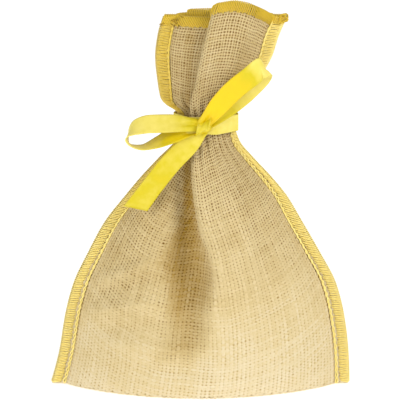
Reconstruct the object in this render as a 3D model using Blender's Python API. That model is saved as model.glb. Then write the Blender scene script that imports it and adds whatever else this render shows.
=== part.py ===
"""A jute pouch that stands on its opened base, tied at the neck with a satin ribbon in a bow.

The pouch is one sheet of jute, folded at the bottom and sewn up both sides. Its walls are lofted through
horizontal sections, from the base to the open collar. The ribbon is a turn round the neck, a knot, two loops
and a free end.
Lengths here are in millimetres, with X to the right, Y to the back, Z up and the base on Z = 0.
"""

import math

import bmesh
import bpy
import numpy as np

MM = 0.001  # one millimetre in scene units

JUTE_THICKNESS = 1.2
EDGE_PRESSED = 0.9  # how far the stitching presses each layer down at a seam's outer edge
RIBBON_THICKNESS = 1.0
CLEARANCE = 0.4  # between the ribbon's turn and the gathered jute

# The pouch's outline and depth at each height. left and right are the outer edges of the flat side seams, and
# the seam columns are the widths of those seams, which are two layers sewn flat. front and back are how far
# each panel stands out from the seams. round is the power of its curve: 0.5 is an ellipse, and 1 is a pointed
# end at each seam.
SECTION_COLUMNS = ("height", "left", "right", "left_seam", "right_seam", "front", "back", "round")
SECTIONS = (
    (0.0, -61.0, 61.0, 5.5, 5.5, 21.5, 19.8, 0.85),
    (7.0, -59.0, 60.8, 5.5, 5.5, 22.2, 20.8, 0.80),
    (15.0, -57.1, 60.4, 5.5, 5.5, 22.0, 20.8, 0.78),
    (30.0, -54.7, 58.5, 5.5, 5.5, 20.0, 19.8, 0.75),
    (43.0, -51.3, 55.2, 5.5, 5.5, 18.0, 18.2, 0.72),
    (56.0, -45.3, 48.6, 5.5, 5.5, 16.0, 16.5, 0.70),
    (69.0, -38.4, 41.3, 5.5, 5.5, 14.0, 14.5, 0.66),
    (80.0, -30.0, 34.9, 5.0, 5.0, 12.0, 13.0, 0.62),
    (88.0, -23.5, 28.5, 4.5, 4.5, 10.0, 11.0, 0.58),
    (96.0, -16.2, 21.2, 3.6, 3.6, 7.8, 8.6, 0.55),
    (103.0, -9.8, 15.6, 2.8, 2.8, 5.4, 6.0, 0.52),
    (109.0, -8.2, 13.8, 2.4, 2.2, 4.4, 4.6, 0.50),
    (115.6, -8.8, 13.8, 2.4, 2.2, 4.4, 4.6, 0.50),
    (118.0, -12.6, 16.0, 3.4, 2.8, 4.8, 4.9, 0.50),
    (121.0, -15.3, 18.6, 4.4, 3.4, 5.0, 5.0, 0.50),
    (128.0, -16.6, 22.6, 5.2, 4.4, 5.2, 5.2, 0.50),
    (139.0, -17.6, 28.6, 5.5, 5.2, 5.2, 5.4, 0.50),
    (148.0, -16.6, 31.4, 5.5, 5.5, 5.0, 5.5, 0.50),
    (156.0, -14.4, 34.8, 5.5, 5.5, 4.8, 5.5, 0.50),
)

# The front's deep fold, where the right part lies over the left. edge is the fold's visible edge and lap is
# how far the cloth runs back beneath it. step is how far the top layer stands out, and spread eases it out.
FOLD_COLUMNS = ("height", "edge", "lap", "step", "spread")
FRONT_FOLD = (
    (0.0, 2.0, 0.0, 0.0, 10.0),
    (20.0, 0.0, 0.0, 0.4, 9.0),
    (34.0, 0.0, 0.0, 1.8, 7.0),
    (44.0, 3.4, 0.0, 3.4, 5.0),
    (51.0, 4.8, 0.0, 4.7, 3.4),
    (58.0, 3.6, 1.5, 5.5, 2.0),
    (69.0, 0.0, 4.5, 5.8, 0.8),
    (81.0, -2.3, 8.0, 5.8, 0.3),
    (95.0, -3.7, 9.5, 5.7, 0.2),
    (109.0, -4.2, 9.0, 5.6, 0.1),
    (116.0, -4.4, 9.4, 5.6, 0.1),
    (129.0, -1.5, 12.5, 5.7, 0.1),
    (142.0, 1.5, 14.0, 5.8, 0.1),
    (156.0, 5.6, 15.0, 5.8, 0.1),
)

# The back's pair of folds, whose edges face the two seams, seen from behind.
BACK_FOLDS = (
    (
        (0.0, -16.0, 0.0, 0.0, 9.0),
        (35.0, -15.0, 0.0, 0.4, 8.0),
        (55.0, -12.5, 0.0, 3.4, 4.5),
        (72.0, -11.0, 2.8, 5.6, 1.2),
        (90.0, -10.4, 4.8, 5.6, 0.3),
        (109.0, -8.6, 4.3, 5.6, 0.1),
        (116.0, -8.6, 4.3, 5.6, 0.1),
        (125.0, -12.8, 6.4, 5.6, 0.1),
        (140.0, -17.0, 7.6, 5.6, 0.1),
        (156.0, -21.0, 8.5, 5.6, 0.1),
    ),
    (
        (0.0, 14.0, 0.0, 0.0, 9.0),
        (35.0, 12.5, 0.0, 0.4, 8.0),
        (55.0, 9.5, 0.0, 3.4, 4.5),
        (72.0, 7.0, 2.8, 5.6, 1.2),
        (90.0, 4.8, 4.8, 5.6, 0.3),
        (109.0, 3.0, 4.3, 5.6, 0.1),
        (116.0, 3.0, 4.3, 5.6, 0.1),
        (125.0, 4.8, 6.4, 5.6, 0.1),
        (140.0, 5.6, 7.6, 5.6, 0.1),
        (156.0, 4.6, 8.5, 5.6, 0.1),
    ),
)

# The hollow pushed into the front, to the left of the deep fold.
HOLLOW_COLUMNS = ("height", "middle", "reach", "depth")
HOLLOW = (
    (0.0, 1.0, 18.0, 0.0),
    (20.0, 1.0, 13.0, 2.6),
    (33.0, -0.5, 11.0, 5.4),
    (46.0, -3.5, 9.5, 6.4),
    (54.0, -4.5, 8.5, 7.2),
    (62.0, -4.6, 7.0, 6.2),
    (70.0, -4.8, 6.2, 5.3),
    (78.0, -5.4, 5.6, 5.2),
    (86.0, -6.0, 5.0, 3.8),
    (94.0, -6.4, 4.5, 2.0),
    (104.0, -6.4, 4.0, 0.2),
    (156.0, -6.4, 4.0, 0.0),
)

# The top hem's height. Along the right part, from the deep fold's edge at 0 to the right seam at 1, each row
# has the share of the way and the height. It is level elsewhere.
LEFT_RIM = 155.0
RIGHT_RIM = (
    (0.0, 162.8),
    (0.3, 164.0),
    (0.55, 163.2),
    (0.8, 159.6),
    (1.0, 155.0),
)

NECK_HEIGHT = 111.0
TOP_HEIGHT = 156.0
WALL_HEIGHTS = (
    0.0, 4.0, 10.0, 17.0, 24.0, 31.0, 38.0, 44.0, 50.0, 56.0, 62.0, 68.0, 74.0, 79.0, 84.0, 88.0, 92.0, 96.0,
    100.0, 104.5, 109.0, 112.3, 115.6, 118.0, 122.0, 127.0, 133.0, 139.0, 145.0, 151.0, 156.0,
)

# Points along each plain stretch of a panel, and round a fold's turn, how far short of it each one lies.
FRONT_STRETCHES = (12, 10)
BACK_STRETCHES = (8, 4, 8)
TURN_SHAPE = (1.0, 0.3, 0.0, 0.3, 1.0)
TURN_RADIUS = 1.4

# Each strip of the ribbon has a row for each point along its middle: x, y and z, then the x, y and z of the
# direction across it, and its width there.
LEFT_LOOP = (
    (2.6, -15.0, 113.4, 0.0, 0.50, 0.87, 4.5),
    (-4.0, -15.4, 113.8, 0.0, 0.60, 0.80, 6.0),
    (-11.9, -16.0, 114.4, 0.0, 0.68, 0.73, 8.2),
    (-19.7, -16.6, 114.3, 0.0, 0.70, 0.71, 8.5),
    (-25.8, -16.6, 112.8, 0.15, 0.80, 0.60, 8.5),
    (-29.3, -16.4, 109.0, 0.15, 0.95, 0.10, 8.5),
    (-28.0, -16.2, 105.4, -0.10, 0.99, -0.10, 8.5),
    (-23.6, -16.0, 104.4, 0.0, 0.99, 0.0, 8.5),
    (-17.0, -15.6, 106.4, 0.0, 0.93, 0.36, 8.3),
    (-10.3, -15.0, 109.4, 0.0, 0.70, 0.71, 7.5),
    (-4.0, -14.2, 111.2, 0.0, 0.55, 0.83, 5.5),
    (2.2, -13.2, 112.0, 0.0, 0.50, 0.87, 4.5),
)
RIGHT_LOOP = (
    (0.2, -15.4, 112.6, 0.90, 0.0, -0.40, 4.5),
    (3.4, -15.8, 116.4, 0.85, 0.0, -0.50, 6.0),
    (8.2, -16.6, 122.6, 0.78, 0.0, -0.62, 8.0),
    (14.2, -18.6, 129.4, 0.73, 0.0, -0.68, 8.5),
    (20.2, -19.4, 134.4, 0.68, 0.0, -0.73, 8.5),
    (24.4, -18.6, 137.7, 0.60, 0.0, -0.80, 8.5),
    (26.4, -16.0, 137.0, 0.56, 0.1, -0.81, 8.5),
    (24.8, -13.4, 133.6, 0.62, 0.1, -0.78, 8.5),
    (18.8, -12.8, 127.0, 0.70, 0.0, -0.71, 8.5),
    (12.8, -13.0, 121.6, 0.78, 0.0, -0.62, 8.0),
    (7.0, -13.2, 116.8, 0.85, 0.0, -0.50, 6.5),
    (1.6, -13.2, 112.6, 0.90, 0.0, -0.40, 4.5),
)
FREE_END = (
    (3.0, -13.0, 113.4, 0.55, 0.0, -0.83, 5.0),
    (-0.4, -14.4, 110.8, 0.60, 0.0, -0.80, 7.0),
    (-5.0, -15.0, 105.0, 0.72, 0.0, -0.69, 8.5),
    (-11.9, -14.8, 97.4, 0.75, 0.0, -0.66, 8.5),
    (-18.4, -14.2, 88.9, 0.79, 0.0, -0.61, 8.5),
    (-25.9, -13.2, 78.4, 0.93, 0.0, -0.36, 9.0),
)
STRIP_STEPS = 4  # stations in each gap between a strip's rows

TURN_HEIGHT = 6.4  # the ribbon's turn round the neck, drawn narrower than the ribbon
TURN_MIDDLE = 112.6
TURN_SIDES = 40
NECK_READINGS = 9  # heights at which the neck is measured for the turn
KNOT_CENTRE = (1.2, -14.5, 112.7)
KNOT_RADII = (4.0, 3.0, 3.0)


def read_rows(rows, places):
    """The columns after the first, read on smooth curves that never overshoot, at values of the first."""
    table = np.array(rows, float)
    places = np.asarray(places, float)
    key = table[:, 0]
    rise = np.diff(table, axis=0) / np.diff(key)[:, None]
    slope = np.zeros_like(table)
    slope[0] = rise[0]
    slope[-1] = rise[-1]
    product = rise[:-1] * rise[1:]
    total = rise[:-1] + rise[1:]
    steady = product > 0
    slope[1:-1][steady] = 2 * product[steady] / total[steady]
    row = np.clip(np.searchsorted(key, places, side="right") - 1, 0, len(key) - 2)
    span = (key[row + 1] - key[row])[:, None]
    part = (places - key[row])[:, None] / span
    value = (
        (1 + 2 * part) * (1 - part) ** 2 * table[row]
        + part * (1 - part) ** 2 * span * slope[row]
        + part**2 * (3 - 2 * part) * table[row + 1]
        + part**2 * (part - 1) * span * slope[row + 1]
    )
    return value[:, 1:]


def named_row(columns, rows, height):
    """One row of a table, read at a height, by its columns' names."""
    return dict(zip(columns[1:], read_rows(rows, [height])[0]))


def stretch(start, end, count, ease_start, ease_end):
    """Places from start to end, both left out, closer together at an end that is eased."""
    part = np.arange(1, count + 1) / (count + 1)
    if ease_start and ease_end:
        part = (1 - np.cos(math.pi * part)) / 2
    elif ease_start:
        part = 1 - np.cos(math.pi * part / 2)
    elif ease_end:
        part = np.sin(math.pi * part / 2)
    return start + (end - start) * part


def fold_points(fold, mirrored):
    """The points round a fold, as places across and shares of its step, from its start to its end."""
    near = np.array(TURN_SHAPE)
    radius = min(TURN_RADIUS, fold["lap"] / 2)
    returning = fold["edge"] + fold["lap"] - radius * near
    across = np.concatenate((returning, fold["edge"] + radius * near))
    across += fold["spread"] * np.linspace(-1, 1, 2 * len(near))
    even = np.linspace(0, 1, 2 * len(near))
    eased = even * even * (3 - 2 * even)
    share = eased + (even - eased) * radius / TURN_RADIUS
    if mirrored:
        across = (2 * fold["edge"] - across)[::-1]
        share = share[::-1]
    return across, share


def panel(left, right, depth, power, folds, counts):
    """The middle line of a panel seen from its own front: across, out, share of the step, and along.

    One fold raises all the cloth to its right, as far as the seam. A second one is mirrored, so the two of
    them raise the cloth between them.
    """
    across = [np.array([left])]
    share = [np.zeros(1)]
    along = [np.zeros(1)]
    start, level = left, 0.0
    for number, fold in enumerate(folds):
        turned, shares = fold_points(fold, number > 0)
        between = stretch(start, turned[0], counts[number], number == 0, False)
        across += [between, turned]
        share += [np.full(len(between), level), shares]
        along += [np.zeros(len(between)), np.zeros(len(turned))]
        start, level = turned[-1], shares[-1]
    last = stretch(start, right, counts[-1], False, True)
    across += [last, np.array([right])]
    share += [np.full(len(last), level), np.array([level])]
    along += [(last - start) / (right - start), np.ones(1)]
    across, share, along = (np.concatenate(values) for values in (across, share, along))
    part = np.clip((across - left) / (right - left), 0, 1)
    out = depth * (4 * part * (1 - part)) ** power
    if len(folds) == 1:
        return_start = folds[0]["edge"] + folds[0]["lap"]
        returned = np.clip((across - return_start) / (right - return_start), 0, 1)
        out += folds[0]["step"] * share * (1 - returned * returned * (3 - 2 * returned))
    else:
        out += folds[0]["step"] * share
    return np.stack((across, out, share, along), axis=1)


def thickened(line, thickness):
    """The outer and inner side of a panel's middle line. At both seams the inner side lies on the seam."""
    ahead = np.diff(line, axis=0)
    ahead /= np.linalg.norm(ahead, axis=1)[:, None]
    mean = ahead[:-1] + ahead[1:]
    mean /= np.linalg.norm(mean, axis=1)[:, None]
    normal = np.zeros_like(line)
    normal[1:-1] = np.stack((-mean[:, 1], mean[:, 0]), axis=1)
    normal[[0, -1]] = (0, 1)
    return line + normal * thickness / 2, line - normal * thickness / 2


def section(height):
    """The outer and inner outline of the pouch at a height, seen from above, with each point's hem height."""
    at = named_row(SECTION_COLUMNS, SECTIONS, height)
    left = at["left"] + at["left_seam"]
    right = at["right"] - at["right_seam"]
    half = JUTE_THICKNESS / 2

    front_folds = [named_row(FOLD_COLUMNS, FRONT_FOLD, height)]
    front = panel(left, right, at["front"], at["round"], front_folds, FRONT_STRETCHES)
    hollow = named_row(HOLLOW_COLUMNS, HOLLOW, height)
    dent = hollow["depth"] * np.exp(-(((front[:, 0] - hollow["middle"]) / hollow["reach"]) ** 2))
    front[:, 1] += half - dent * (1 - front[:, 2])
    front_rim = LEFT_RIM + front[:, 2] * (read_rows(RIGHT_RIM, front[:, 3])[:, 0] - LEFT_RIM)
    front_outer, front_inner = thickened(front[:, :2], JUTE_THICKNESS)

    folds = [named_row(FOLD_COLUMNS, rows, height) for rows in BACK_FOLDS]
    back = panel(-right, -left, at["back"], at["round"], folds, BACK_STRETCHES)
    back[:, 1] += half
    back_outer, back_inner = thickened(back[:, :2], JUTE_THICKNESS)
    back_rim = np.full(len(back), LEFT_RIM)

    pressed = JUTE_THICKNESS * EDGE_PRESSED
    left_edge = [(at["left"], pressed), (at["left"], -pressed)]
    right_edge = [(at["right"], -pressed), (at["right"], pressed)]
    seam_rim = np.full(2, LEFT_RIM)
    turned = np.array((1.0, -1.0))
    outer = np.concatenate((left_edge, front_outer * turned, right_edge, back_outer * -turned))
    outer_rim = np.concatenate((seam_rim, front_rim, seam_rim, back_rim))
    inner = np.concatenate((front_inner * turned, back_inner[1:-1] * -turned))
    inner_rim = np.concatenate((front_rim, back_rim[1:-1]))
    return (outer, outer_rim), (inner, inner_rim), len(front)


def lifted(outline, height):
    """An outline in space. Above the neck each point's height is drawn out to its own part of the hem."""
    points, rim = outline
    rise = max(height - NECK_HEIGHT, 0.0) / (TOP_HEIGHT - NECK_HEIGHT)
    heights = height + rise * (rim - TOP_HEIGHT)
    return np.column_stack((points, heights))


def mesh_object(name, points, faces, material, collection):
    """A closed mesh object from points in millimetres."""
    mesh = bpy.data.meshes.new(name)
    shape = bmesh.new()
    corners = [shape.verts.new(point) for point in np.asarray(points) * MM]
    for face in faces:
        shape.faces.new([corners[index] for index in face])
    bmesh.ops.recalc_face_normals(shape, faces=shape.faces)
    shape.to_mesh(mesh)
    shape.free()
    mesh.materials.append(material)
    piece = bpy.data.objects.new(name, mesh)
    collection.objects.link(piece)
    return piece


def wall_faces(first, second, count):
    """The faces between two rings of the same count, given each ring's first point."""
    return [
        (first + index, first + (index + 1) % count, second + (index + 1) % count, second + index)
        for index in range(count)
    ]


def build_pouch(material, collection):
    """The jute: an outer and an inner skin through the same heights, joined at the hem, on a flat base."""
    outer_rings, inner_rings = [], []
    for height in WALL_HEIGHTS:
        outer, _, front_count = section(height)
        floor = max(height, JUTE_THICKNESS)
        _, inner, _ = section(floor)
        outer_rings.append(lifted(outer, height))
        inner_rings.append(lifted(inner, floor))
    outer_count, inner_count = len(outer_rings[0]), len(inner_rings[0])
    points = np.concatenate(outer_rings + inner_rings)
    inner_start = len(outer_rings) * outer_count

    faces = []
    for level in range(len(WALL_HEIGHTS) - 1):
        faces += wall_faces(level * outer_count, (level + 1) * outer_count, outer_count)
        inner_ring = inner_start + level * inner_count
        faces += wall_faces(inner_ring, inner_ring + inner_count, inner_count)
    faces.append(tuple(range(outer_count)))
    faces.append(tuple(range(inner_start, inner_start + inner_count)))

    # The hem joins the two skins. Each ring starts at the left seam, whose edge is the outer ring's first two.
    outer_hem = (len(WALL_HEIGHTS) - 1) * outer_count
    inner_hem = inner_start + (len(WALL_HEIGHTS) - 1) * inner_count
    front = [outer_hem + 2 + index for index in range(front_count)]
    back = [outer_hem + 4 + front_count + index for index in range(outer_count - front_count - 4)]
    front_inner = [inner_hem + index for index in range(front_count)]
    back_inner = [front_inner[-1], *range(inner_hem + front_count, inner_hem + inner_count), inner_hem]
    for outside, inside in ((front, front_inner), (back, back_inner)):
        for index in range(len(outside) - 1):
            faces.append((outside[index], outside[index + 1], inside[index + 1], inside[index]))
    right_edge = outer_hem + 2 + front_count
    faces.append((outer_hem, outer_hem + 1, front[0], inner_hem, back[-1]))
    faces.append((right_edge, right_edge + 1, back[0], front_inner[-1], front[-1]))
    return mesh_object("pouch", points, faces, material, collection)


def strip(name, rows, material, collection):
    """A length of ribbon: a flat section carried along the rows' points and turned as they say."""
    places = np.arange(len(rows))
    numbered = [(place, *row) for place, row in zip(places, rows)]
    stations = np.linspace(0, len(rows) - 1, (len(rows) - 1) * STRIP_STEPS + 1)
    table = read_rows(numbered, stations)
    middle, across, width = table[:, :3], table[:, 3:6], table[:, 6:]
    ahead = np.gradient(middle, axis=0)
    ahead /= np.linalg.norm(ahead, axis=1)[:, None]
    across = across - ahead * (across * ahead).sum(axis=1)[:, None]
    across /= np.linalg.norm(across, axis=1)[:, None]
    normal = np.cross(ahead, across)
    side = across * width / 2
    thick = normal * RIBBON_THICKNESS / 2
    corners = (middle - side - thick, middle + side - thick, middle + side + thick, middle - side + thick)
    rings = np.stack(corners, axis=1)
    count = len(rings)
    faces = [face for ring in range(count - 1) for face in wall_faces(4 * ring, 4 * ring + 4, 4)]
    faces.append((0, 1, 2, 3))
    faces.append(tuple(range(4 * count - 4, 4 * count)))
    return mesh_object(name, rings.reshape(-1, 3), faces, material, collection)


def neck_outline(gap, sides):
    """The tightest many-sided outline round the neck, from above, that stays a gap clear of the jute."""
    low = TURN_MIDDLE - TURN_HEIGHT / 2
    heights = np.linspace(low - gap, low + TURN_HEIGHT + gap, NECK_READINGS)
    points = np.concatenate([section(height)[0][0] for height in heights])
    angles = np.arange(sides) * 2 * math.pi / sides
    facing = np.stack((np.cos(angles), np.sin(angles)), axis=1)
    reach = (points @ facing.T).max(axis=0) + gap
    following = np.roll(facing, -1, axis=0)
    next_reach = np.roll(reach, -1)
    turn = facing[:, 0] * following[:, 1] - facing[:, 1] * following[:, 0]
    return np.stack(
        (
            (reach * following[:, 1] - next_reach * facing[:, 1]) / turn,
            (next_reach * facing[:, 0] - reach * following[:, 0]) / turn,
        ),
        axis=1,
    )


def build_turn(material, collection):
    """The ribbon's turn round the neck, as a closed band."""
    inside = neck_outline(CLEARANCE, TURN_SIDES)
    outside = neck_outline(CLEARANCE + RIBBON_THICKNESS, TURN_SIDES)
    low = np.full(TURN_SIDES, TURN_MIDDLE - TURN_HEIGHT / 2)
    high = low + TURN_HEIGHT
    corners = ((inside, low), (outside, low), (outside, high), (inside, high))
    rings = [np.column_stack(corner) for corner in corners]
    faces = []
    for ring in range(4):
        faces += wall_faces(ring * TURN_SIDES, (ring + 1) % 4 * TURN_SIDES, TURN_SIDES)
    return mesh_object("ribbon_turn", np.concatenate(rings), faces, material, collection)


def build_knot(material, collection):
    """The knot, a small pressed lump in front of the neck."""
    mesh = bpy.data.meshes.new("ribbon_knot")
    shape = bmesh.new()
    bmesh.ops.create_uvsphere(shape, u_segments=14, v_segments=9, radius=1.0)
    bmesh.ops.scale(shape, vec=[radius * MM for radius in KNOT_RADII], verts=shape.verts)
    bmesh.ops.translate(shape, vec=[place * MM for place in KNOT_CENTRE], verts=shape.verts)
    shape.to_mesh(mesh)
    shape.free()
    mesh.materials.append(material)
    piece = bpy.data.objects.new("ribbon_knot", mesh)
    collection.objects.link(piece)
    return piece


def build_ribbon(material, collection, helpers):
    """The ribbon: its turn, joined to the knot, the loops and the free end by Boolean unions."""
    ribbon = build_turn(material, collection)
    ribbon.name = "ribbon"
    joined = [
        build_knot(material, helpers),
        strip("ribbon_left_loop", LEFT_LOOP, material, helpers),
        strip("ribbon_right_loop", RIGHT_LOOP, material, helpers),
        strip("ribbon_free_end", FREE_END, material, helpers),
    ]
    for piece in joined:
        piece.hide_render = True
        piece.display_type = "WIRE"
        union = ribbon.modifiers.new(piece.name, "BOOLEAN")
        union.operation = "UNION"
        union.object = piece
    return ribbon


def cloth_material(name, colour, roughness):
    """A plain cloth: a rough surface of one colour."""
    material = bpy.data.materials.new(name)
    material.use_nodes = True
    shader = material.node_tree.nodes["Principled BSDF"]
    shader.inputs["Base Color"].default_value = (*colour, 1.0)
    shader.inputs["Roughness"].default_value = roughness
    shader.inputs["Metallic"].default_value = 0.0
    return material


def new_collection(name):
    """A collection linked to the scene."""
    collection = bpy.data.collections.new(name)
    bpy.context.scene.collection.children.link(collection)
    return collection


def main():
    for piece in list(bpy.data.objects):
        bpy.data.objects.remove(piece, do_unlink=True)
    parts = new_collection("jute_pouch")
    helpers = new_collection("jute_pouch_helpers")
    jute = cloth_material("jute", (0.62, 0.47, 0.24), 0.9)
    satin = cloth_material("yellow_satin", (0.90, 0.74, 0.03), 0.35)
    build_pouch(jute, parts)
    build_ribbon(satin, parts, helpers)


if __name__ == "__main__":
    main()
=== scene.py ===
"""The looks of a jute pouch that is tied at its neck with a satin ribbon.

The jute is one thin sheet on the frame's own sections, with its warp and weft yarns woven through it. Both side seams
and the hem are overlocked, and the seams are chain stitched, in yellow thread. The ribbon is one satin length.
Lengths are in millimetres, with X to the right, Y to the back, Z up and the base on Z = 0.
"""

import math

import bpy
import numpy as np
from bpy.props import FloatProperty, FloatVectorProperty, IntProperty, PointerProperty
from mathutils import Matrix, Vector


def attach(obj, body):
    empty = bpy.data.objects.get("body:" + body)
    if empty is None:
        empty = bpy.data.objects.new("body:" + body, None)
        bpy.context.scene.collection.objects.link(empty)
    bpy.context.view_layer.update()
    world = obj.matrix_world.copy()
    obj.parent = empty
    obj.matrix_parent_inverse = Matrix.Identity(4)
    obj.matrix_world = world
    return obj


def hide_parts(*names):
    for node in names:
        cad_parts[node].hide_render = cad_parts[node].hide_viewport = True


bl_info = {
    "name": "Jute pouch",
    "version": (1, 0, 0),
    "blender": (4, 5, 0),
    "location": "View3D > Sidebar > Pouch",
    "description": "Builds the looks of a jute pouch tied with a satin ribbon",
    "category": "Object",
}

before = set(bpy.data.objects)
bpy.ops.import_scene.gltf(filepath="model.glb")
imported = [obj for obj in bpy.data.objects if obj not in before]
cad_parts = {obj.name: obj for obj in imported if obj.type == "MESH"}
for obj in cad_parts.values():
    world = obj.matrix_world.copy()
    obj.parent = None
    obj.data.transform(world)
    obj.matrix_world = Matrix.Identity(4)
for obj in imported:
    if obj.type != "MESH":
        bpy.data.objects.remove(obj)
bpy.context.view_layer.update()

MM = 0.001  # one millimetre in scene units

# The pouch's outline and depth at each height, as the frame has them. left and right are the outer edges of the flat
# side seams, and front and back are how far each panel stands out from them. round is the power of a panel's curve.
SECTION_COLUMNS = ("height", "left", "right", "left_seam", "right_seam", "front", "back", "round")
SECTIONS = (
    (0, -61, 61, 5.5, 5.5, 21.5, 19.8, 0.85),
    (7, -59, 60.8, 5.5, 5.5, 22.2, 20.8, 0.8),
    (15, -57.1, 60.4, 5.5, 5.5, 22, 20.8, 0.78),
    (30, -54.7, 58.5, 5.5, 5.5, 20, 19.8, 0.75),
    (43, -51.3, 55.2, 5.5, 5.5, 18, 18.2, 0.72),
    (56, -45.3, 48.6, 5.5, 5.5, 16, 16.5, 0.7),
    (69, -38.4, 41.3, 5.5, 5.5, 14, 14.5, 0.66),
    (80, -30, 34.9, 5, 5, 12, 13, 0.62),
    (88, -23.5, 28.5, 4.5, 4.5, 10, 11, 0.58),
    (96, -16.2, 21.2, 3.6, 3.6, 7.8, 8.6, 0.55),
    (103, -9.8, 15.6, 2.8, 2.8, 5.4, 6, 0.52),
    (109, -8.2, 13.8, 2.4, 2.2, 4.4, 4.6, 0.5),
    (115.6, -8.8, 13.8, 2.4, 2.2, 4.4, 4.6, 0.5),
    (118, -12.6, 16, 3.4, 2.8, 4.8, 4.9, 0.5),
    (121, -15.3, 18.6, 4.4, 3.4, 5, 5, 0.5),
    (128, -16.6, 22.6, 5.2, 4.4, 5.2, 5.2, 0.5),
    (139, -17.6, 28.6, 5.5, 5.2, 5.2, 5.4, 0.5),
    (148, -16.6, 31.4, 5.5, 5.5, 5, 5.5, 0.5),
    (156, -14.4, 34.8, 5.5, 5.5, 4.8, 5.5, 0.5),
)

# The front's deep fold, where the right part lies over the left. edge is the fold's visible edge and lap is how far
# the cloth runs back beneath it. step is how far the top layer stands out, and spread eases the fold out flat.
FOLD_COLUMNS = ("height", "edge", "lap", "step", "spread")
FRONT_FOLD = (
    (0, 2, 0, 0, 10),
    (20, 0, 0, 0.4, 9),
    (34, 0, 0, 1.8, 7),
    (44, 3.4, 0, 3.4, 5),
    (51, 4.8, 0, 4.7, 3.4),
    (58, 3.6, 1.5, 5.5, 2),
    (69, 0, 4.5, 5.8, 0.8),
    (81, -2.3, 8, 5.8, 0.3),
    (95, -3.7, 9.5, 5.7, 0.2),
    (109, -4.2, 9, 5.6, 0.1),
    (116, -4.4, 9.4, 5.6, 0.1),
    (129, -1.5, 12.5, 5.7, 0.1),
    (142, 1.5, 14, 5.8, 0.1),
    (156, 5.6, 15, 5.8, 0.1),
)

# The back's pair of folds, whose edges face the two seams. Both edges are seen from behind, where the pouch's left is
# on the right, and both folds have the same lap, step and spread.
BACK_COLUMNS = ("height", "first_edge", "second_edge", "lap", "step", "spread")
BACK_FOLDS = (
    (0, -16, 14, 0, 0, 9),
    (35, -15, 12.5, 0, 0.4, 8),
    (55, -12.5, 9.5, 0, 3.4, 4.5),
    (72, -11, 7, 2.8, 5.6, 1.2),
    (90, -10.4, 4.8, 4.8, 5.6, 0.3),
    (109, -8.6, 3, 4.3, 5.6, 0.1),
    (116, -8.6, 3, 4.3, 5.6, 0.1),
    (125, -12.8, 4.8, 6.4, 5.6, 0.1),
    (140, -17, 5.6, 7.6, 5.6, 0.1),
    (156, -21, 4.6, 8.5, 5.6, 0.1),
)

# The hollow pushed into the front, to the left of the deep fold.
HOLLOW_COLUMNS = ("height", "middle", "reach", "depth")
HOLLOW = (
    (0, 1, 18, 0),
    (20, 1, 13, 2.6),
    (33, -0.5, 11, 5.4),
    (46, -3.5, 9.5, 6.4),
    (54, -4.5, 8.5, 7.2),
    (62, -4.6, 7, 6.2),
    (70, -4.8, 6.2, 5.3),
    (78, -5.4, 5.6, 5.2),
    (86, -6, 5, 3.8),
    (94, -6.4, 4.5, 2),
    (104, -6.4, 4, 0.2),
    (156, -6.4, 4, 0),
)

# The top hem's height. Along the right part, from the deep fold's edge at 0 to the right seam at 1, each row has the
# share of the way and the height. It is level elsewhere.
LEFT_RIM = 155.0
RIGHT_RIM = ((0, 162.2), (0.3, 163.2), (0.55, 162.2), (0.8, 158.8), (1, 155))
NECK_HEIGHT = 111.0
TOP_HEIGHT = 156.0

JUTE_THICKNESS = 1.2
SEAM_MIDDLE = 0.54  # how far each layer's middle lies from the other layer, at a seam's outer edge
FLOOR_MIDDLE = 0.68
SHEET_THICKNESS = 0.1  # the sheet under the yarns
WALL_LEVELS = 112
FLOOR_LEVELS = 12
TURN_POINTS = 9
TURN_POWER = 1.74
TURN_RADIUS = 1.4
FRONT_STRETCHES = (30, 24)
BACK_STRETCHES = (20, 12, 20)
SEAM_POINTS = 4

# Painted shade left of the fold's edge, where the hollow lies in shadow: its middle, half its width and how deep it is.
SHADE_COLUMNS = ("height", "middle", "reach", "depth")
SHADE = (
    (0, -12, 12, 0),
    (9, -12, 11, 0.06),
    (15, -10, 10, 0.36),
    (21, -6, 10.5, 0.8),
    (30, -3.8, 10, 0.92),
    (38, -3.8, 9.6, 0.9),
    (45, -3.4, 9, 0.9),
    (51, -4.6, 9.8, 0.9),
    (57, -5.2, 9.2, 0.88),
    (64, -5.2, 6.6, 0.92),
    (70, -4.5, 4.4, 0.95),
    (79, -4.2, 2.8, 1),
    (89, -4.9, 2, 0.9),
    (98, -4.9, 1.8, 0.7),
    (110, -4.9, 1.8, 0.4),
    (156, -4, 2, 0.2),
)

# The jute's colour has painted shade towards the collar and in the hollow, painted light towards the base, and
# painted light at the seams that lifts the shade in their creases. It is also deeper in colour towards the front's
# left. Each reach is the height or width over which it changes.
COLLAR_SHADE, COLLAR_START, COLLAR_REACH = 0.10, 20.0, 60.0
BASE_PAINTED_LIGHT, BASE_REACH = 0.16, 40.0
HOLLOW_SHADE = 0.31
LEFT_DEEPER, LEFT_REACH = 0.05, 15.0
SEAM_PAINTED_LIGHT, SEAM_BLEND = 0.12, 0.012

# Fine gathers between the shoulders and the collar: how deep they are at the neck, how far below and above it they
# run out, and how many there are in a panel.
GATHER_DEPTH, GATHER_BELOW, GATHER_ABOVE, GATHERS = 1.1, 15.0, 12.0, 15
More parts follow.
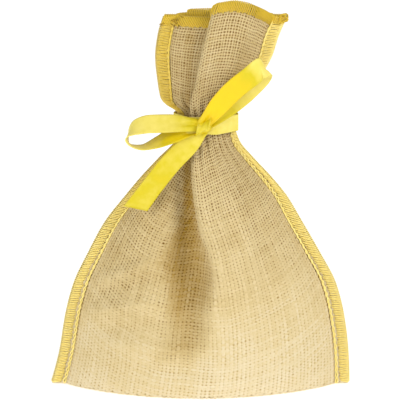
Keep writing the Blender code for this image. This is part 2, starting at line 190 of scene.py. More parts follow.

# Soft creases, as seen from that panel's own front: both ends, then half the width, and the height of a ridge
# or, below 0, the depth of a trough.
CREASE_COLUMNS = ("start_x", "start_z", "end_x", "end_z", "reach", "rise")
FRONT_CREASES = (
    (-46, 33, -13, 41, 2.6, 1.8),
    (-44, 40, -14, 51, 2.4, -1.4),
    (-40, 46, -15, 58, 2.4, 1.4),
    (-42, 26, -10, 33, 2.6, -1.5),
    (-38, 22, 2, 20, 3, 1.6),
    (-32, 12, 6, 13, 3.2, -1.2),
    (14, 60, 8, 88, 2.4, -0.7),
    (22, 52, 15, 84, 3, 0.7),
    (30, 30, 24, 62, 4, -0.5),
    (-22, 70, -11, 96, 2.2, -0.7),
    (-30, 56, -16, 84, 3, 0.6),
)
BACK_CREASES = (
    (-38, 24, -18, 44, 3.8, 0.7),
    (-30, 44, -14, 74, 3.2, -0.8),
    (34, 20, 18, 48, 4, 0.6),
    (26, 48, 12, 78, 3, -0.7),
    (-6, 14, 8, 30, 4.2, -0.5),
)

# How uneven the yarns are in width, along each one and from one to the next, how far they wander off their lines as a
# share of their spacing, and how pale they are.
YARN_SEED = 7
SLUB_ALONG, SLUB_BETWEEN, WANDER = 0.14, 0.10, 0.14
TONE_MIDDLE, TONE_ALONG, TONE_BETWEEN = 0.5, 0.06, 0.03
# From a height on and over a reach, the yarns draw apart by this share.
OPEN_START, OPEN_REACH, OPEN_SHARE = 55.0, 50.0, 0.28
WEFT_RISE = 0.034  # how much further up its share of the way a weft yarn is at the seams than in the middle

# The stitches of a side seam run between these shares of the way up. In the steep stretch below the neck the right seam
# is turned aside, so that less of its overlock shows and its chain lies further out.
SEAM_START, SEAM_END = 0.006, 0.99
STEEP_MIDDLE, STEEP_REACH, STEEP_NARROWER, STEEP_OUT = 93.0, 15.0, 0.75, 0.9

# An overlock stitch: places along it from its inner end towards the edge, how far off the cloth it lies, how far it
# leans and how much that varies, by what share it grows wider and where, and how far off and out it is at the edge.
STITCH_PARTS = (0.0, 0.25, 0.6, 0.9)
STITCH_LIFT, STITCH_SLANT, STITCH_JITTER = 0.62, 0.9, 0.08
STITCH_WIDER, WIDER_START, WIDER_REACH = 0.45, 0.3, 0.15
EDGE_LIFT, EDGE_OUT = 0.3, 0.45

# An overlock stitch on the hem: how far down from the rim, how far off the cloth and how much higher each point is.
HEM_STITCH = (
    (1, 0.72, 0),
    (0.6, 0.78, 0),
    (0.2, 0.76, 0),
    (0, 0.55, 0.35),
    (0, 0, 0.6),
    (0, -0.55, 0.35),
    (0.2, -0.76, 0),
    (0.6, -0.78, 0),
    (1, -0.72, 0),
)

# A chain stitch: the points along it, how far its strands lie off the cloth and rise over each other, and how far
# outside the seam's line it is.
CHAIN_STEPS, CHAIN_LIFT, CHAIN_RISE, CHAIN_OUT = 6, 0.72, 0.14, 0.15
LOWEST_THREAD = 0.4

# Each strip of the ribbon has a row for each point along its middle: x, y and z, then the x, y and z of the direction
# across it, and its width there.
LEFT_LOOP = (
    (2.6, -15, 113.4, 0, 0.5, 0.87, 4.5),
    (-4, -15.4, 113.8, 0, 0.6, 0.8, 6),
    (-11.9, -16, 114.4, 0, 0.68, 0.73, 8.2),
    (-19.7, -16.6, 114.3, 0, 0.7, 0.71, 8.5),
    (-25.8, -16.6, 112.8, 0.15, 0.8, 0.6, 8.5),
    (-29.3, -16.4, 109, 0.15, 0.95, 0.1, 8.5),
    (-28, -16.2, 105.4, -0.1, 0.99, -0.1, 8.5),
    (-23.6, -16, 104.4, 0, 0.99, 0, 8.5),
    (-17, -15.6, 106.4, 0, 0.93, 0.36, 8.3),
    (-10.3, -15, 109.4, 0, 0.7, 0.71, 7.5),
    (-4, -14.2, 111.2, 0, 0.55, 0.83, 5.5),
    (2.2, -13.2, 112, 0, 0.5, 0.87, 4.5),
)
RIGHT_LOOP = (
    (0.2, -15.4, 112.6, 0.9, 0, -0.4, 4.5),
    (3.4, -15.8, 116.4, 0.85, 0, -0.5, 6),
    (8.2, -16.6, 122.6, 0.78, 0, -0.62, 8),
    (14.2, -18.6, 129.4, 0.73, 0, -0.68, 8.5),
    (20.2, -19.4, 134.4, 0.68, 0, -0.73, 8.5),
    (24.4, -18.6, 137.7, 0.6, 0, -0.8, 8.5),
    (26.2, -16, 137.2, 0.5, 0.1, -0.81, 7.4),
    (24.8, -13.4, 133.6, 0.62, 0.1, -0.78, 8.3),
    (18.8, -12.8, 127, 0.7, 0, -0.71, 8.5),
    (12.8, -13, 121.6, 0.78, 0, -0.62, 8),
    (7, -13.2, 116.8, 0.85, 0, -0.5, 6.5),
    (1.6, -13.2, 112.6, 0.9, 0, -0.4, 4.5),
)
FREE_END = (
    (3, -13, 113.4, 0.55, 0, -0.83, 5),
    (-0.4, -14.4, 110.8, 0.6, 0, -0.8, 7),
    (-5, -15, 105, 0.72, 0, -0.69, 8.5),
    (-11.9, -14.8, 97.4, 0.75, 0, -0.66, 8.5),
    (-18.4, -14.2, 88.9, 0.79, 0, -0.61, 8.5),
    (-25.9, -13.2, 78.4, 0.93, 0, -0.36, 9),
)
# The strap over the knot's front, from above the turn to below it.
KNOT_STRAP = (
    (3.4, -12.6, 115.6, 0.75, 0, 0.65, 4.4),
    (2.8, -15.4, 115.2, 0.78, 0, 0.6, 4.8),
    (1.9, -17, 113.9, 0.8, 0, 0.58, 5.2),
    (1.2, -17.4, 112.5, 0.82, 0, 0.55, 5.2),
    (0.4, -16.9, 111, 0.84, 0, 0.52, 4.8),
    (-0.2, -15.2, 110, 0.85, 0, 0.5, 4.4),
    (-0.4, -12.8, 110, 0.85, 0, 0.5, 4),
)
KNOT_CENTRE = (1.2, -14.3, 112.7)
KNOT_RADII = (3.2, 2.4, 2.5)
SATIN_THICKNESS = 0.35
SATIN_WIDTH = 8.5
SATIN_STEPS = 10
SATIN_SIDES = 12
TURN_MIDDLE = 112.6
TURN_HEIGHT = 6.8
TURN_SIDES = 96
TURN_GAP = 0.9  # between the jute and the middle of the ribbon's turn

# The camera sees the picture's width of this many millimetres, from this far away and this many degrees above.
PICTURE_WIDTH = 162.8
CAMERA_DISTANCE = 2000.0
CAMERA_ELEVATION = 15.0
CAMERA_AIM = 78.2
SENSOR_WIDTH = 36.0


def read_rows(rows, places):
    """The columns after the first, at the given values of the first, on smooth curves that never overshoot."""
    table = np.array(rows, float)
    places = np.asarray(places, float)
    key = table[:, 0]
    rise = np.diff(table, axis=0) / np.diff(key)[:, None]
    slope = np.zeros_like(table)
    slope[0] = rise[0]
    slope[-1] = rise[-1]
    product = rise[:-1] * rise[1:]
    total = rise[:-1] + rise[1:]
    steady = product > 0
    slope[1:-1][steady] = 2 * product[steady] / total[steady]
    row = np.clip(np.searchsorted(key, places, side="right") - 1, 0, len(key) - 2)
    span = (key[row + 1] - key[row])[:, None]
    part = (places - key[row])[:, None] / span
    value = (
        (1 + 2 * part) * (1 - part) ** 2 * table[row]
        + part * (1 - part) ** 2 * span * slope[row]
        + part**2 * (3 - 2 * part) * table[row + 1]
        + part**2 * (part - 1) * span * slope[row + 1]
    )
    return value[:, 1:]


def named(columns, rows, places):
    """A table's columns by their names, read at one or more values of the first."""
    places = np.asarray(places, float)
    values = read_rows(rows, places.ravel()).T
    return {name: value.reshape(places.shape)[()] for name, value in zip(columns[1:], values)}


def unit(vectors):
    """The same directions with a length of one."""
    return vectors / np.maximum(np.linalg.norm(vectors, axis=-1, keepdims=True), 1e-9)


def stretch(start, end, count, eased=None):
    """Places from start to end, both left out, closer together at the one that is eased."""
    part = np.arange(1, count + 1) / (count + 1)
    if eased == "start":
        part = 1 - np.cos(math.pi * part / 2)
    elif eased == "end":
        part = np.sin(math.pi * part / 2)
    return start + (end - start) * part


def rows_of(*columns):
    """Columns side by side, where a single value fills its column."""
    return np.stack(np.broadcast_arrays(*columns), axis=1)


def fold_points(fold, mirrored):
    """The points round a fold, as places across and shares of its step, from its start to its end."""
    near = np.abs(np.linspace(-1, 1, TURN_POINTS)) ** TURN_POWER
    radius = min(TURN_RADIUS, fold["lap"] / 2)
    across = np.concatenate((fold["edge"] + fold["lap"] - radius * near, fold["edge"] + radius * near))
    across += fold["spread"] * np.linspace(-1, 1, 2 * len(near))
    even = np.linspace(0, 1, 2 * len(near))
    eased = even * even * (3 - 2 * even)
    share = eased + (even - eased) * radius / TURN_RADIUS
    return ((2 * fold["edge"] - across)[::-1], share[::-1]) if mirrored else (across, share)


def panel(left, right, depth, power, folds, counts):
    """The middle line of a panel seen from its own front, as columns: across, out, share of the step, and along."""
    rows = [[(left, 0.0, 0.0)]]
    start, level = left, 0.0
    for number, fold in enumerate(folds):
        turned, shares = fold_points(fold, number > 0)
        between = stretch(start, turned[0], counts[number], None if number else "start")
        rows += [rows_of(between, level, 0.0), rows_of(turned, shares, 0.0)]
        start, level = turned[-1], shares[-1]
    last = stretch(start, right, counts[-1], "end")
    rows += [rows_of(last, level, (last - start) / (right - start)), [(right, level, 1.0)]]
    across, share, along = np.concatenate(rows).T
    part = np.clip((across - left) / (right - left), 0, 1)
    raised = folds[0]["step"] * share
    if len(folds) == 1:
        return_start = folds[0]["edge"] + folds[0]["lap"]
        returned = np.clip((across - return_start) / (right - return_start), 0, 1)
        raised *= 1 - returned * returned * (3 - 2 * returned)
    return rows_of(across, depth * (4 * part * (1 - part)) ** power + raised, share, along)


def panel_line(height, front):
    """A panel's middle line at a height, from seam edge to seam edge, as columns: across, out and the hem's height.

    With it come the shares of its length at which the left and the right seam end.
    """
    at = named(SECTION_COLUMNS, SECTIONS, height)
    sides = [(at["left"], at["left_seam"]), (-at["right"], at["right_seam"])]
    (first, first_seam), (last, last_seam) = sides if front else sides[::-1]
    if front:
        folds = [named(FOLD_COLUMNS, FRONT_FOLD, height)]
    else:
        both = named(BACK_COLUMNS, BACK_FOLDS, height)
        folds = [dict(both, edge=both["first_edge"]), dict(both, edge=both["second_edge"])]
    depth, counts = (at["front"], FRONT_STRETCHES) if front else (at["back"], BACK_STRETCHES)
    line = panel(first + first_seam, -last - last_seam, depth, at["round"], folds, counts)
    rim = np.full(len(line), LEFT_RIM)
    if front:
        hollow = named(HOLLOW_COLUMNS, HOLLOW, height)
        dent = hollow["depth"] * np.exp(-(((line[:, 0] - hollow["middle"]) / hollow["reach"]) ** 2))
        line[:, 1] -= dent * (1 - line[:, 2])
        rim += line[:, 2] * (read_rows(RIGHT_RIM, line[:, 3])[:, 0] - LEFT_RIM)
    seam_part = np.arange(SEAM_POINTS) / SEAM_POINTS
    seam_out = SEAM_MIDDLE + (JUTE_THICKNESS / 2 - SEAM_MIDDLE) * seam_part
    seam_rim = np.full(SEAM_POINTS, LEFT_RIM)
    across = np.concatenate((first + first_seam * seam_part, line[:, 0], (-last - last_seam * seam_part)[::-1]))
    out = np.concatenate((seam_out, line[:, 1] + JUTE_THICKNESS / 2, seam_out[::-1]))
    rim = np.concatenate((seam_rim, rim, seam_rim))
    steps = np.hypot(np.diff(across), np.diff(out))
    share = np.concatenate(([0.0], np.cumsum(steps))) / steps.sum()
    return rows_of(across, out, rim), share, (share[SEAM_POINTS], share[-1 - SEAM_POINTS])


def creased(points, creases, sign):
    """How far each point is moved along its normal by the listed creases."""
    moved = np.zeros(points.shape[:-1])
    plan = np.stack((points[..., 0] * sign, points[..., 2]), axis=-1)
    for row in creases:
        at = dict(zip(CREASE_COLUMNS, row))
        start = np.array((at["start_x"], at["start_z"]))
        run = np.array((at["end_x"], at["end_z"])) - start
        along = np.clip(((plan - start) @ run) / (run @ run), 0, 1)
        away = np.linalg.norm(plan - start - along[..., None] * run, axis=-1)
        fade = np.sin(math.pi * np.clip(along, 0.02, 0.98)) ** 0.5
        moved += at["rise"] * fade * np.exp(-((away / at["reach"]) ** 2))
    return moved


def grid_normals(points):
    """The outward direction at each point of a panel's grid."""
    across = np.gradient(points, axis=1)
    up = np.gradient(points, axis=0)
    return unit(np.cross(unit(across), unit(up)))


class Panel:
    """The front or back of the pouch as a grid: rows run from the bottom fold to the hem, columns from seam to seam."""

    def __init__(self, front, warp_count, weft_count):
        self.front = front
        self.sign = 1.0 if front else -1.0
        self.columns = 2 * warp_count + 1
        self.rows = 2 * weft_count + 1
        share = np.linspace(0, 1, self.columns)
        walls, ends = [], []
        for height in np.linspace(FLOOR_MIDDLE, TOP_HEIGHT, WALL_LEVELS):
            line, length, seam_ends = panel_line(height, front)
            across, out, rim = (np.interp(share, length, values) for values in line.T)
            rise = max(height - NECK_HEIGHT, 0.0) / (TOP_HEIGHT - NECK_HEIGHT)
            walls.append(np.stack((across * self.sign, -out * self.sign, height + rise * (rim - TOP_HEIGHT)), axis=1))
            ends.append(seam_ends)
        walls = np.array(walls)
        walls += grid_normals(walls) * self.relief(walls, share)[..., None]
        base = walls[0]
        fold = np.zeros_like(base)
        fold[:, 0] = np.linspace(base[0, 0], base[-1, 0], self.columns)
        floor = fold + (base - fold) * np.linspace(0, 1, FLOOR_LEVELS, endpoint=False)[:, None, None]
        floor[..., 2] = FLOOR_MIDDLE
        levels = np.concatenate((floor, walls))
        run = np.cumsum(np.linalg.norm(np.diff(levels, axis=0), axis=2), axis=0)
        run = np.concatenate((np.zeros((1, self.columns)), run))
        run += np.arange(len(levels))[:, None] * 1e-6
        up_share = np.linspace(0, 1, self.rows)
        weft_rise = WEFT_RISE * np.sin(math.pi * up_share) ** 2
        self.points = np.empty((self.rows, self.columns, 3))
        for column in range(self.columns):
            reached = run[:, column] / run[-1, column]
            wanted = up_share + weft_rise * (2 * share[column] - 1) ** 2
            for axis in range(3):
                self.points[:, column, axis] = np.interp(wanted, reached, levels[:, column, axis])
        self.normals = grid_normals(self.points)
        edge_share = run[:, 0] / run[-1, 0]
        all_ends = np.array([ends[0]] * FLOOR_LEVELS + ends)
        wanted = up_share + weft_rise
        self.seam_ends = np.stack([np.interp(wanted, edge_share, all_ends[:, side]) for side in (0, 1)], axis=1)

    def relief(self, points, share):
        """The fine gathers at the neck and the listed creases, as distances along the normals."""
        height = points[..., 2]
        from_neck = height - NECK_HEIGHT
        reach = np.where(from_neck < 0, GATHER_BELOW, GATHER_ABOVE)
        depth = GATHER_DEPTH * np.exp(-((from_neck / reach) ** 2))
        drift = 0.5 * np.sin(9 * share + (0 if self.front else 2)) + 0.012 * from_neck
        wave = np.sin(2 * math.pi * GATHERS * share + 2.2 * drift)
        inside = np.clip((0.5 - np.abs(share - 0.5)) / 0.07 - 0.6, 0, 1)
        creases = FRONT_CREASES if self.front else BACK_CREASES
        return (depth * (wave - 1) / 2 + creased(points, creases, self.sign)) * inside

    def place(self, across, up, lift):
        """Points at shares across and up the panel, lifted off its middle in millimetres."""
        column = np.clip(np.asarray(across, float), 0, 1) * (self.columns - 1)
        row = np.clip(np.asarray(up, float), 0, 1) * (self.rows - 1)
        left = np.minimum(column.astype(int), self.columns - 2)
        low = np.minimum(row.astype(int), self.rows - 2)
        column_part = (column - left)[..., None]
        row_part = (row - low)[..., None]

        def read(grid):
            bottom, top = (
                grid[level, left] * (1 - column_part) + grid[level, left + 1] * column_part for level in (low, low + 1)
            )
            return bottom * (1 - row_part) + top * row_part

        return read(self.points) + unit(read(self.normals)) * np.asarray(lift, float)[..., None]

    def up_panel(self, values, up):
        """Values that each row of the grid has, read at shares of the way up."""
        return np.interp(up, np.linspace(0, 1, self.rows), values)

    def seam_end(self, right, up):
        """The share across at which a seam's stitched line runs."""
        return self.up_panel(self.seam_ends[:, 1 if right else 0], up)


def mesh_piece(name, points, faces, smooth=True):
    """A new mesh object from points in millimetres and an array of faces with one count of corners."""
    mesh = bpy.data.meshes.new(name)
    faces = np.asarray(faces)
    mesh.vertices.add(len(points))
    mesh.vertices.foreach_set("co", (np.asarray(points) * MM).astype(np.float32).ravel())
    corners = faces.shape[1]
    mesh.loops.add(faces.size)
    mesh.loops.foreach_set("vertex_index", faces.astype(np.int32).ravel())
    mesh.polygons.add(len(faces))
    mesh.polygons.foreach_set("loop_start", (np.arange(len(faces)) * corners).astype(np.int32))
    mesh.polygons.foreach_set("use_smooth", np.full(len(faces), smooth))
    mesh.update(calc_edges=True)
    mesh.validate()
    piece = bpy.data.objects.new(name, mesh)
    bpy.context.scene.collection.objects.link(piece)
    return piece


def split_sides(piece):
    """Marks the side edges of four-cornered tubes as sharp, so that a flat yarn isn't shaded as a round one."""
    mesh = piece.data
    ends = np.empty(len(mesh.edges) * 2, np.int32)
    mesh.edges.foreach_get("vertices", ends)
    ends = ends.reshape(-1, 2)
    sharp = (ends[:, 0] % 4 == ends[:, 1] % 4) & (ends[:, 0] % 2 == 0)
    mesh.attributes.new("sharp_edge", "BOOLEAN", "EDGE").data.foreach_set("value", sharp)


def store(piece, name, values):
    """A number for each point of a piece, which its material reads."""
    attribute = piece.data.attributes.new(name, "FLOAT", "POINT")
    attribute.data.foreach_set("value", np.asarray(values, np.float32).ravel())


def grid_faces(rows, columns, closed):
    """The faces of a grid of points, whose columns may close in a ring."""
    index = np.arange(rows * columns).reshape(rows, columns)
    if closed:
        index = np.concatenate((index, index[:, :1]), axis=1)
    quads = np.stack((index[:-1, :-1], index[:-1, 1:], index[1:, 1:], index[1:, :-1]), axis=-1)
    return quads.reshape(-1, 4)


def tube_faces(length):
    """The faces of one tube of that many four-cornered rings, with both ends closed."""
    last = 4 * (length - 1)
    caps = np.array(((3, 2, 1, 0), (last, last + 1, last + 2, last + 3)))
    return np.concatenate((grid_faces(length, 4, True), caps))


def tubes(paths, side, up, half_width, half_height):
    """Points and faces of tubes along many paths of the same length, with a flattened section of four corners.

    paths, side and up have the shape (paths, points, 3), and the half sizes have the shape (paths, points).
    """
    across = side * half_width[..., None]
    rise = up * half_height[..., None]
    rings = np.stack((paths + across, paths + rise, paths - across, paths - rise), axis=2)
    count, length = paths.shape[:2]
    faces = (tube_faces(length)[None] + (np.arange(count) * length * 4)[:, None, None]).reshape(-1, 4)
    return rings.reshape(-1, 3), faces


def drifting(random, count, length, knots):
    """A smooth random value along each of many paths, from -1 to 1."""
    values = random.uniform(-1, 1, (count, knots + 1))
    places = np.linspace(0, knots, length)
    low = np.minimum(places.astype(int), knots - 1)
    part = places - low
    part = part * part * (3 - 2 * part)
    return values[:, low] * (1 - part) + values[:, low + 1] * part


def thread_path(points, radius):
    """Points and faces of one thread along a path, with four corners that smooth shading rounds."""
    points = np.asarray(points, float)
    ahead = unit(np.gradient(points, axis=0))
    guide = np.where(np.abs(ahead[:, 2:]) < 0.9, (0.0, 0.0, 1.0), (0.0, 1.0, 0.0))
    side = unit(np.cross(ahead, guide))
    for index in range(1, len(side)):
        turned = side[index - 1] - ahead[index] * (side[index - 1] @ ahead[index])
        side[index] = turned / max(np.linalg.norm(turned), 1e-9)
    up = np.cross(side, ahead)
    ring = np.stack((side, up, -side, -up), axis=1)
    return (points[:, None] + ring * radius).reshape(-1, 3), tube_faces(len(points))


def joined(parts):
    """Several sets of points and faces as one."""
    points, faces, start = [], [], 0
    for part_points, part_faces in parts:
        points.append(part_points)
        faces.append(np.asarray(part_faces) + start)
        start += len(part_points)
    return np.concatenate(points), np.concatenate(faces)


def linear(colour):
    """An sRGB hex colour as linear values."""
    values = [int(colour[place : place + 2], 16) / 255 for place in (1, 3, 5)]
    return [value / 12.92 if value <= 0.04045 else ((value + 0.055) / 1.055) ** 2.4 for value in values]


def add_node(tree, kind, settings=None, inputs=None):
    """A node with its settings, and with its inputs set or linked."""
    node = tree.nodes.new(kind)
    for name, value in (settings or {}).items():
        setattr(node, name, value)
    for name, value in (inputs or {}).items():
        if isinstance(value, bpy.types.NodeSocket):
            tree.links.new(value, node.inputs[name])
        else:
            node.inputs[name].default_value = value
    return node


def new_material(name, values):
    """A node material with its shader, some of whose values are set."""
    material = bpy.data.materials.new(name)
    material.use_nodes = True
    shader = material.node_tree.nodes["Principled BSDF"]
    for key, value in values.items():
        shader.inputs[key].default_value = value
    return material, material.node_tree, shader


def stored(tree, name):
    """A number that a piece stores for each point."""
    return add_node(tree, "ShaderNodeAttribute", {"attribute_name": name}).outputs["Fac"]


def noise(tree, place, scale, detail):
    """Soft noise over places."""
    inputs = {"Vector": place, "Scale": scale, "Detail": detail}
    return add_node(tree, "ShaderNodeTexNoise", inputs=inputs).outputs["Fac"]


def multiply_add(tree, value, factor, added):
    """A value times a factor, with another one added."""
    inputs = {0: value, 1: factor, 2: added}
    return add_node(tree, "ShaderNodeMath", {"operation": "MULTIPLY_ADD"}, inputs).outputs["Value"]


def coloured(tree, shader, factor, colours):
    """The shader's colour, through evenly spaced colours."""
    node = add_node(tree, "ShaderNodeValToRGB", inputs={"Fac": factor})
    elements = node.color_ramp.elements
    while len(elements) < len(colours):
        elements.new(0.5)
    for place, (element, colour) in enumerate(zip(elements, colours)):
        element.position = place / (len(colours) - 1)
        element.color = (*colour, 1.0)
    tree.links.new(node.outputs["Color"], shader.inputs["Base Color"])


def bumped(tree, shader, height, strength, distance):
    """The shader's fine relief."""
    inputs = {"Height": height, "Strength": strength, "Distance": distance}
    tree.links.new(add_node(tree, "ShaderNodeBump", inputs=inputs).outputs["Normal"], shader.inputs["Normal"])


def yarn_material(settings):
    """Spun jute yarn: matt, with a faint sheen from its fibres, and paler and darker lengths in every yarn."""
    material, tree, shader = new_material(
        "woven_jute_yarn",
        {"Roughness": 0.85, "Specular IOR Level": 0.3, "Sheen Weight": 0.06, "Sheen Roughness": 0.5},
    )
    place = add_node(tree, "ShaderNodeTexCoord").outputs["Object"]
    fibre = noise(tree, place, 2600.0, 2.0)
    # The stored tone holds painted shade and painted light as well as the yarns' own paler and darker lengths.
    blotched = multiply_add(tree, noise(tree, place, 90.0, 3.0), 0.22, stored(tree, "yarn_tone_and_shading"))
    fine = multiply_add(tree, fibre, 0.4, blotched)
    shade = add_node(tree, "ShaderNodeMath", {"operation": "SUBTRACT"}, {0: fine, 1: 0.31})
    coloured(tree, shader, shade.outputs["Value"], [settings.jute_dark_and_shade, settings.jute, settings.jute_pale_and_lit])
    bumped(tree, shader, fibre, 0.35, 0.0002)
    return material


def gap_shade_material(settings):
    """The jute seen in the gaps of the weave, in painted shade: deeper than the yarns, deepest where they have most
    painted shade.
    """
    material, tree, shader = new_material("jute_between_yarns", {"Roughness": 0.95, "Specular IOR Level": 0.15})
    place = add_node(tree, "ShaderNodeUVMap", {"uv_map": "weave"}).outputs["UV"]
    waves = add_node(
        tree,
        "ShaderNodeTexChecker",
        inputs={"Vector": place, "Scale": 1.0, "Color1": (1, 1, 1, 1), "Color2": (0, 0, 0, 1)},
    )
    coloured(tree, shader, stored(tree, "gap_shade"), [settings.gap_light, settings.gap])
    bumped(tree, shader, waves.outputs["Fac"], 0.3, 0.0003)
    return material


def thread_material(settings):
    """Spun polyester sewing thread: a soft gloss, with deeper and paler turns."""
    material, tree, shader = new_material("yellow_sewing_thread", {"Roughness": 0.55, "Sheen Weight": 0.2})
    uneven = noise(tree, add_node(tree, "ShaderNodeTexCoord").outputs["Object"], 700.0, 3.0)
    shade = multiply_add(tree, uneven, 0.5, stored(tree, "thread_tone"))
    coloured(tree, shader, shade, [settings.thread_dark_and_shade, settings.thread, settings.thread_light])
    return material


def satin_material(settings):
    """Woven polyester satin: long floats along the ribbon give a soft gloss, and fine cross ribs break it."""
    material, tree, shader = new_material(
        "yellow_satin_ribbon", {"Roughness": 0.42, "Specular IOR Level": 0.3, "Anisotropic": 0.4}
    )
    place = add_node(tree, "ShaderNodeUVMap", {"uv_map": "ribbon"}).outputs["UV"]
    ribs = add_node(
        tree,
        "ShaderNodeTexWave",
        {"wave_type": "BANDS", "bands_direction": "X"},
        {"Vector": place, "Scale": 0.9, "Distortion": 0.6, "Detail": 1.0},
    )
    # The stored tone paints shade and sheen along the ribbon, with soft noise over it.
    shade = multiply_add(tree, noise(tree, place, 0.25, 2.0), 0.4, stored(tree, "satin_shade_and_sheen"))
    coloured(tree, shader, shade, [settings.satin_shaded, settings.satin, settings.satin_sheen])
    bumped(tree, shader, ribs.outputs["Fac"], 0.15, 0.0001)
    return material


def hex_colour(name, description, value):
    """A colour setting whose default is an sRGB hex value."""
    return FloatVectorProperty(
        name=name, description=description, subtype="COLOR", size=3, min=0, max=1, default=linear(value)
    )


def setting(kind, name, description, value, least, most, **more):
    """A setting with its limits."""
    return kind(name=name, description=description, default=value, min=least, max=most, **more)


def length_setting(name, description, value, least, most):
    """A length setting in metres, given in millimetres."""
    sizes = (value * MM, least * MM, most * MM)
    return setting(FloatProperty, name, description, *sizes, precision=4, unit="LENGTH", subtype="DISTANCE")


class JuteSettings(bpy.types.PropertyGroup):
    """The woven jute."""

    warp_yarns: setting(IntProperty, "Warp yarns", "Yarns that run up each panel", 76, 20, 90)
    weft_yarns: setting(IntProperty, "Weft yarns", "Yarns that run across each panel", 148, 40, 160)
    warp_cover: setting(FloatProperty, "Warp cover", "Share of its space that a warp yarn fills", 0.86, 0.3, 1.0)
    weft_cover: setting(FloatProperty, "Weft cover", "Share of its space that a weft yarn fills", 0.86, 0.3, 1.0)
    yarn_thickness: length_setting("Yarn thickness", "Height of a yarn where it is pressed flat", 0.62, 0.2, 1.2)
    crimp: length_setting("Crimp", "How far a yarn rises and falls over the others", 0.16, 0.05, 0.8)
    jute: hex_colour("Jute", "Most of the yarn", "#D2BE8E")
    # The pale and dark jute colours also carry the painted light at the base and the painted shade in the hollow and
    # collar.
    jute_pale_and_lit: hex_colour("Pale jute", "The palest lengths of yarn", "#E8E0CC")
    jute_dark_and_shade: hex_colour("Dark jute", "The darkest lengths of yarn", "#9A7614")
    # The gap colours are painted shade: the shade in the holes between yarns, lightest where the jute has least painted
    # shade.
    gap: hex_colour("Gap", "The deepest gaps between yarns", "#6C4A10")
    gap_light: hex_colour("Lit gap", "The lighter gaps between yarns", "#A8894C")


class SewingSettings(bpy.types.PropertyGroup):
    """The yellow sewing thread."""

    thickness: length_setting("Thread", "Diameter of the thread", 0.62, 0.1, 1.0)
    overlock_pitch: length_setting("Overlock pitch", "Distance between overlock stitches", 0.74, 0.4, 3.0)
    overlock_share: setting(
        FloatProperty, "Overlock width", "Share of the seam's width that it covers", 0.62, 0.2, 0.9
    )
    hem_width: length_setting("Hem width", "Height of the overlock on the hem", 3.6, 1.0, 6.0)
    chain_pitch: length_setting("Chain pitch", "Length of a chain stitch", 2.4, 1.0, 5.0)
    chain_width: length_setting("Chain width", "Width of a chain stitch", 1.8, 0.4, 3.0)
    thread: hex_colour("Thread", "Most of the sewing thread", "#F3DC7A")
    thread_light: hex_colour("Pale thread", "Its palest turns", "#FCF4B4")
    # The dark thread colour also carries the painted shade towards the collar on the left seam.
    thread_dark_and_shade: hex_colour("Dark thread", "Its deepest turns", "#D6B41A")


class RibbonSettings(bpy.types.PropertyGroup):
    """The satin ribbon."""

    satin: hex_colour("Satin", "Most of the ribbon", "#CFBC12")
    # The pale and deep satin colours are painted sheen and painted shade.
    satin_sheen: hex_colour("Pale satin", "Where the ribbon is palest", "#EFDE74")
    satin_shaded: hex_colour("Deep satin", "Where the ribbon is deepest", "#EDC600")


class StageSettings(bpy.types.PropertyGroup):
    """The floor, the lights and the camera."""

    floor: hex_colour("Floor", "The plain floor", "#FAFAFA")
    floor_glow: setting(FloatProperty, "Floor glow", "Light that the white floor itself gives", 0.5, 0, 10)
    key_power: setting(FloatProperty, "Key", "Power of the key light", 6.5, 0, 100, unit="POWER")
    fill_power: setting(FloatProperty, "Fill", "Power of the fill light", 5.0, 0, 100, unit="POWER")
    sky: setting(FloatProperty, "Sky", "Strength of the even light all round", 0.5, 0, 10)


class PouchSettings(bpy.types.PropertyGroup):
    """All the pouch's settings."""

    jute: PointerProperty(type=JuteSettings)
    sewing: PointerProperty(type=SewingSettings)
    ribbon: PointerProperty(type=RibbonSettings)
    stage: PointerProperty(type=StageSettings)


PANELS = {}


def panels(settings):
    """The front and the back of the pouch, worked out once."""
    if not PANELS:
        PANELS["front"] = Panel(True, settings.warp_yarns, settings.weft_yarns)
        PANELS["back"] = Panel(False, settings.warp_yarns, settings.weft_yarns)
    return PANELS["front"], PANELS["back"]


def select_alone(piece):
    """Leaves one piece selected and active."""
    for other in bpy.context.selected_objects:
        other.select_set(False)
    piece.select_set(True)
    bpy.context.view_layer.objects.active = piece


def store_places(piece, name, places):
    """A place across and along the cloth for each point of a piece, as a UV map."""
    corner = np.empty(len(piece.data.loops), np.int32)
    piece.data.loops.foreach_get("vertex_index", corner)
    layer = piece.data.uv_layers.new(name=name)
    layer.data.foreach_set("uv", places[corner].astype(np.float32).ravel())


def thicken(piece, thickness):
    """Gives a selected sheet its thickness, half of it to each side."""
    wall = piece.modifiers.new("wall", "SOLIDIFY")
    wall.thickness = thickness * MM
    wall.offset = 0.0
    bpy.ops.object.modifier_apply(modifier="wall")


def finish_piece(piece, material):
    """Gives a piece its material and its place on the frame."""
    piece.data.materials.append(material)
    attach(piece, "root")


